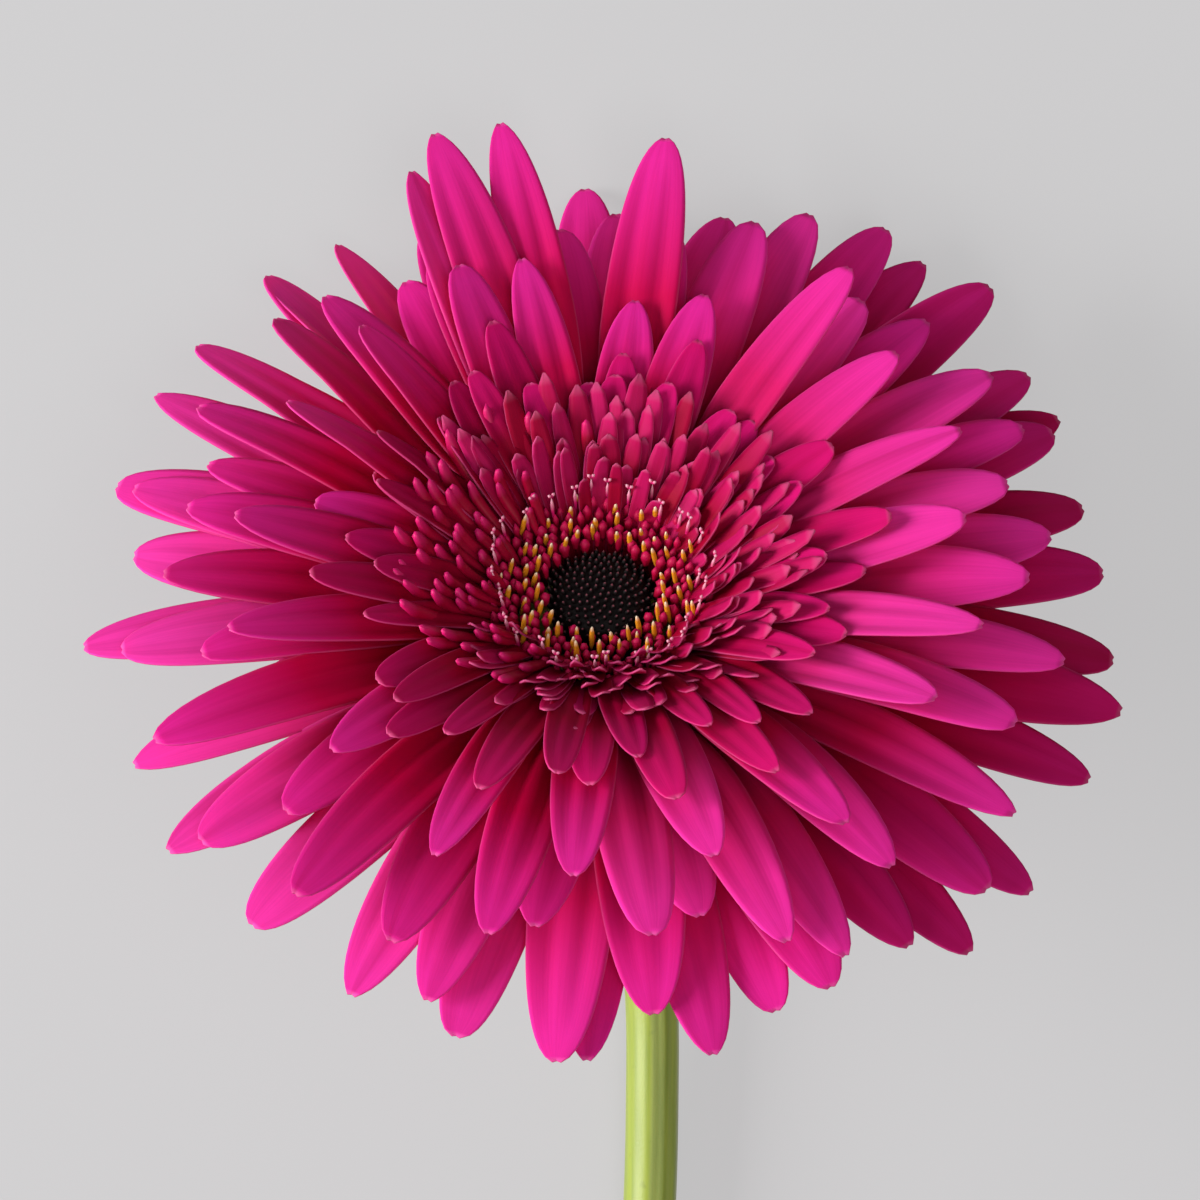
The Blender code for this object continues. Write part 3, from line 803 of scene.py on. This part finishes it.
class GERBERA_OT_disc_buds(bpy.types.Operator):
    """Build the dark dome of closed buds"""
    bl_idname = "gerbera.disc_buds"
    bl_label = "Disc buds"

    # How many buds stand on the dome, out to which radius, and the dome's top and fall there
    BUDS, BUD_REACH = 170, 6.1
    DOME_TOP, DOME_FALL = 8.4, 1.5

    def execute(self, context):
        colours = context.scene.gerbera_colours
        width = context.scene.gerbera_sizes.bud_width / MM
        rng = Random(59)
        bm = bmesh.new()
        layers = value_layers(bm)
        profile = [bm.verts.new(Vector((radius, 0, height)) * MM) for radius, height in BUD_DOME]
        edges = [bm.edges.new(pair) for pair in zip(profile, profile[1:])]
        bmesh.ops.spin(bm, geom=profile + edges, cent=(0, 0, 0), axis=(0, 0, 1), angle=2 * pi,
                       steps=48, use_merge=True)
        bmesh.ops.remove_doubles(bm, verts=bm.verts, dist=0.01 * MM)
        bmesh.ops.recalc_face_normals(bm, faces=bm.faces)
        for i in range(self.BUDS):
            share = sqrt((i + 0.5) / self.BUDS)
            radius = self.BUD_REACH * share
            surface = self.DOME_TOP - self.DOME_FALL * share**3
            lean = 0.9 * share
            foot = head_point(radius - 0.3 * lean, i * GOLDEN_ANGLE, surface - 0.6)
            tip = head_point(radius + 0.3 * lean, i * GOLDEN_ANGLE, surface + 0.75)
            add_organ(bm, layers, foot, tip, width, rng.uniform(0.2, 1), -0.3)
        # Closed buds: dark matt skins whose ends catch a little light
        material = tipped_material("gerbera_disc_bud", colours.bud, colours.bud_tip, 0.6, 0.82)
        finish_piece(context, "disc_bud_dome", bm, material, ["disc_buds"])
        return {"FINISHED"}


def wall_point(wall, share):
    """Radius and height on a bract's middle line, share from 0 at the foot to 1 at the tip."""
    spot = share * (len(wall) - 1)
    index = min(int(spot), len(wall) - 2)
    part = spot - index
    height = wall[index][0] * (1 - part) + wall[index + 1][0] * part
    radius = wall[index][1] * (1 - part) + wall[index + 1][1] * part
    return radius, height


class GERBERA_OT_bracts(bpy.types.Operator):
    """Build the two rings of pointed bracts under the head"""
    bl_idname = "gerbera.bracts"
    bl_label = "Bracts"

    def execute(self, context):
        sizes = context.scene.gerbera_sizes
        colours = context.scene.gerbera_colours
        # Bracts: tough matt green leaves with a crimson point
        material = tipped_material("gerbera_bract", colours.bract, colours.trans_foot, 0.6, 0.93)
        rings = (("inner_bracts", "involucre_inner_bracts", INNER_BRACTS, 24),
                 ("outer_bracts", "involucre_outer_bracts", OUTER_BRACTS, 18))
        for name, node, wall, count in rings:
            bm = bmesh.new()
            layers = value_layers(bm)
            for i in range(count):
                sheet = bmesh.ops.create_grid(bm, x_segments=6, y_segments=10, size=0.5)
                for vert in sheet["verts"]:
                    share = vert.co.y + 0.5
                    side = vert.co.x * 2
                    radius, height = wall_point(wall, share)
                    taper = min(1.0, 2.2 * (1.02 - share)) ** 0.8
                    azimuth = 2 * pi * (i + 0.5 + 0.56 * side * taper) / count
                    keel = 0.22 * (1 - abs(side)) * (1 if i % 2 else 1.7)
                    vert.co = head_point(radius + keel, azimuth, height) * MM
                    vert[layers["along"]] = share
                    vert[layers["across"]] = side
                    vert[layers["tone"]] = 0.5 + 0.4 * sin(2.3 * i)
            thicken(bm, sizes.bract_thickness)
            finish_piece(context, name, bm, material, [node])
        return {"FINISHED"}


class GERBERA_OT_stem(bpy.types.Operator):
    """Build the receptacle, neck and ribbed stem with its cut end"""
    bl_idname = "gerbera.stem"
    bl_label = "Stem and receptacle"

    # Steps of the cut end, from the skin's rim to the sunk middle: depth and inset in millimetres
    CUT_STEPS = ((0.0, 0.55), (-0.25, 0.3), (-0.15, 0.9))

    def execute(self, context):
        sizes = context.scene.gerbera_sizes
        colours = context.scene.gerbera_colours
        curve = bpy.data.curves.new("stem_sweep", "CURVE")
        curve.dimensions = "3D"
        curve.bevel_depth = MM
        curve.bevel_resolution = 22
        curve.resolution_u = 14
        spline = curve.splines.new("BEZIER")
        spline.radius_interpolation = "LINEAR"
        spline.bezier_points.add(len(RECEPTACLE) + len(STEM) - 1)
        stations = [(HEAD @ Vector((0, 0, -depth * MM)), radius) for depth, radius in RECEPTACLE]
        stations += [(Vector((x, y, z)) * MM + STEM_SHIFT, radius) for x, y, z, radius in STEM]
        for index, (knot, (spot, radius)) in enumerate(zip(spline.bezier_points, stations)):
            straight = index < len(RECEPTACLE) - 1
            knot.co = spot
            knot.radius = radius
            knot.handle_left_type = knot.handle_right_type = "VECTOR" if straight else "AUTO"
        sweep = bpy.data.objects.new("stem_sweep", curve)
        context.scene.collection.objects.link(sweep)
        context.view_layer.update()
        mesh = bpy.data.meshes.new_from_object(sweep.evaluated_get(context.evaluated_depsgraph_get()))
        bpy.data.objects.remove(sweep)

        bm = bmesh.new()
        bm.from_mesh(mesh)
        bpy.data.meshes.remove(mesh)
        cut = bm.verts.layers.float.new("cut")
        bm.normal_update()
        # Ribs run along the stem, since only the direction round it moves their wave
        for vert in bm.verts:
            around = vert.normal.x * 9 + vert.normal.z * 7
            vert.co += vert.normal * sizes.stem_rib * sin(around)
        caps = bmesh.ops.holes_fill(bm, edges=[edge for edge in bm.edges if edge.is_boundary])["faces"]
        end = max(caps, key=lambda face: face.calc_center_median().y)
        for depth, inset in self.CUT_STEPS:
            bmesh.ops.inset_region(bm, faces=[end], thickness=inset * MM, depth=depth * MM)
            for vert in end.verts:
                vert[cut] = 1.0
        bmesh.ops.recalc_face_normals(bm, faces=bm.faces)
        material = stem_material(colours.stem_light, colours.stem_dark, colours.pith)
        finish_piece(context, "stem_body", bm, material, ["stem_and_receptacle"],
                     Matrix.Identity(4))
        return {"FINISHED"}


def add_lamp(context, name, offset, target, size, power):
    """A square area lamp that stands at an offset from its target and points at it."""
    lamp = bpy.data.lights.new(name, "AREA")
    lamp.size = size
    lamp.energy = power
    holder = bpy.data.objects.new(name, lamp)
    place = target + Vector(offset)
    holder.location = place
    holder.rotation_euler = (target - place).to_track_quat("-Z", "Y").to_euler()
    context.scene.collection.objects.link(holder)


class GERBERA_OT_stage(bpy.types.Operator):
    """Build the pale floor, the soft light and the camera that looks straight down"""
    bl_idname = "gerbera.stage"
    bl_label = "Stage"

    FLOOR_SIZE = 3.0
    # The lamps' places from the middle of the face, and their sizes
    KEY_PLACE, KEY_SIZE = (0.95, -0.03, 0.42), 0.5
    FILL_PLACE, FILL_SIZE = (-0.2, 0.25, 0.9), 0.6

    def execute(self, context):
        scene = context.scene
        stage = scene.gerbera_stage
        scene.view_settings.view_transform = "Standard"
        face = HEAD @ Vector((0, 0, DISC_LEVEL * MM))

        bm = bmesh.new()
        bmesh.ops.create_grid(bm, x_segments=2, y_segments=2, size=self.FLOOR_SIZE)
        mesh = bpy.data.meshes.new("floor")
        bm.to_mesh(mesh)
        bm.free()
        floor = bpy.data.objects.new("floor", mesh)
        scene.collection.objects.link(floor)
        # Matt paper, shown partly as its own even colour so that the flower's shadow stays faint
        material, output = new_material("matt_paper_floor")
        paper = (*scene.gerbera_colours.floor, 1)
        surface = add_node(material, "ShaderNodeBsdfPrincipled",
                           {"Base Color": paper, "Roughness": 0.9, "Specular IOR Level": 0.1})
        even = add_node(material, "ShaderNodeEmission", {"Color": paper, "Strength": 1.0})
        rays = add_node(material, "ShaderNodeLightPath").outputs
        seen = add_node(material, "ShaderNodeMath", {"operation": "MAXIMUM"},
                        {0: rays["Is Camera Ray"], 1: rays["Is Glossy Ray"]}).outputs[0]
        seen = add_node(material, "ShaderNodeMath", {"operation": "MAXIMUM"},
                        {0: seen, 1: rays["Is Transmission Ray"]}).outputs[0]
        share = add_node(material, "ShaderNodeMath", {"operation": "MULTIPLY", 1: stage.floor_glow},
                         {0: seen}).outputs[0]
        blend = add_node(material, "ShaderNodeMixShader", {},
                         {0: share, 1: surface.outputs[0], 2: even.outputs[0]})
        material.node_tree.links.new(blend.outputs[0], output.inputs["Surface"])
        mesh.materials.append(material)

        world = bpy.data.worlds.new("soft_room")
        world.use_nodes = True
        sky = world.node_tree.nodes["Background"].inputs
        sky["Color"].default_value = (1, 1, 1, 1)
        sky["Strength"].default_value = stage.sky_level
        scene.world = world
        add_lamp(context, "key_lamp", self.KEY_PLACE, face, self.KEY_SIZE, stage.key_power)
        add_lamp(context, "fill_lamp", self.FILL_PLACE, face, self.FILL_SIZE, stage.fill_power)

        camera = bpy.data.cameras.new("camera")
        camera.sensor_width = 36
        camera.lens = camera.sensor_width * stage.camera_height / stage.frame_width
        holder = bpy.data.objects.new("camera", camera)
        holder.location = face + Vector((0, stage.frame_drop, stage.camera_height))
        holder.rotation_euler = (0, 0, pi)
        scene.collection.objects.link(holder)
        scene.camera = holder
        return {"FINISHED"}


class GERBERA_PT_panel(bpy.types.Panel):
    """Buttons for the flower's pieces"""
    bl_label = "Cut gerbera"
    bl_idname = "GERBERA_PT_panel"
    bl_space_type = "VIEW_3D"
    bl_region_type = "UI"
    bl_category = "Gerbera"

    def draw(self, context):
        for operator in OPERATORS:
            self.layout.operator(operator.bl_idname)
        scene = context.scene
        for group in (scene.gerbera_sizes, scene.gerbera_colours, scene.gerbera_stage):
            for name in group.bl_rna.properties.keys():
                if name not in ("rna_type", "name"):
                    self.layout.prop(group, name)


OPERATORS = (
    GERBERA_OT_stem,
    GERBERA_OT_bracts,
    GERBERA_OT_single_florets,
    GERBERA_OT_ray_rows,
    GERBERA_OT_trans_florets,
    GERBERA_OT_disc_florets,
    GERBERA_OT_disc_buds,
    GERBERA_OT_stage,
)
CLASSES = (FlowerSizes, FlowerColours, StageSettings, *OPERATORS, GERBERA_PT_panel)


def register():
    for item in CLASSES:
        bpy.utils.register_class(item)
    bpy.types.Scene.gerbera_sizes = bpy.props.PointerProperty(type=FlowerSizes)
    bpy.types.Scene.gerbera_colours = bpy.props.PointerProperty(type=FlowerColours)
    bpy.types.Scene.gerbera_stage = bpy.props.PointerProperty(type=StageSettings)


def unregister():
    del bpy.types.Scene.gerbera_stage
    del bpy.types.Scene.gerbera_colours
    del bpy.types.Scene.gerbera_sizes
    for item in reversed(CLASSES):
        bpy.utils.unregister_class(item)


def main():
    register()
    bpy.ops.gerbera.stem()
    bpy.ops.gerbera.bracts()
    bpy.ops.gerbera.single_florets()
    bpy.ops.gerbera.ray_rows()
    bpy.ops.gerbera.trans_florets()
    bpy.ops.gerbera.disc_florets()
    bpy.ops.gerbera.disc_buds()
    bpy.ops.gerbera.stage()


if __name__ == "__main__":
    main()
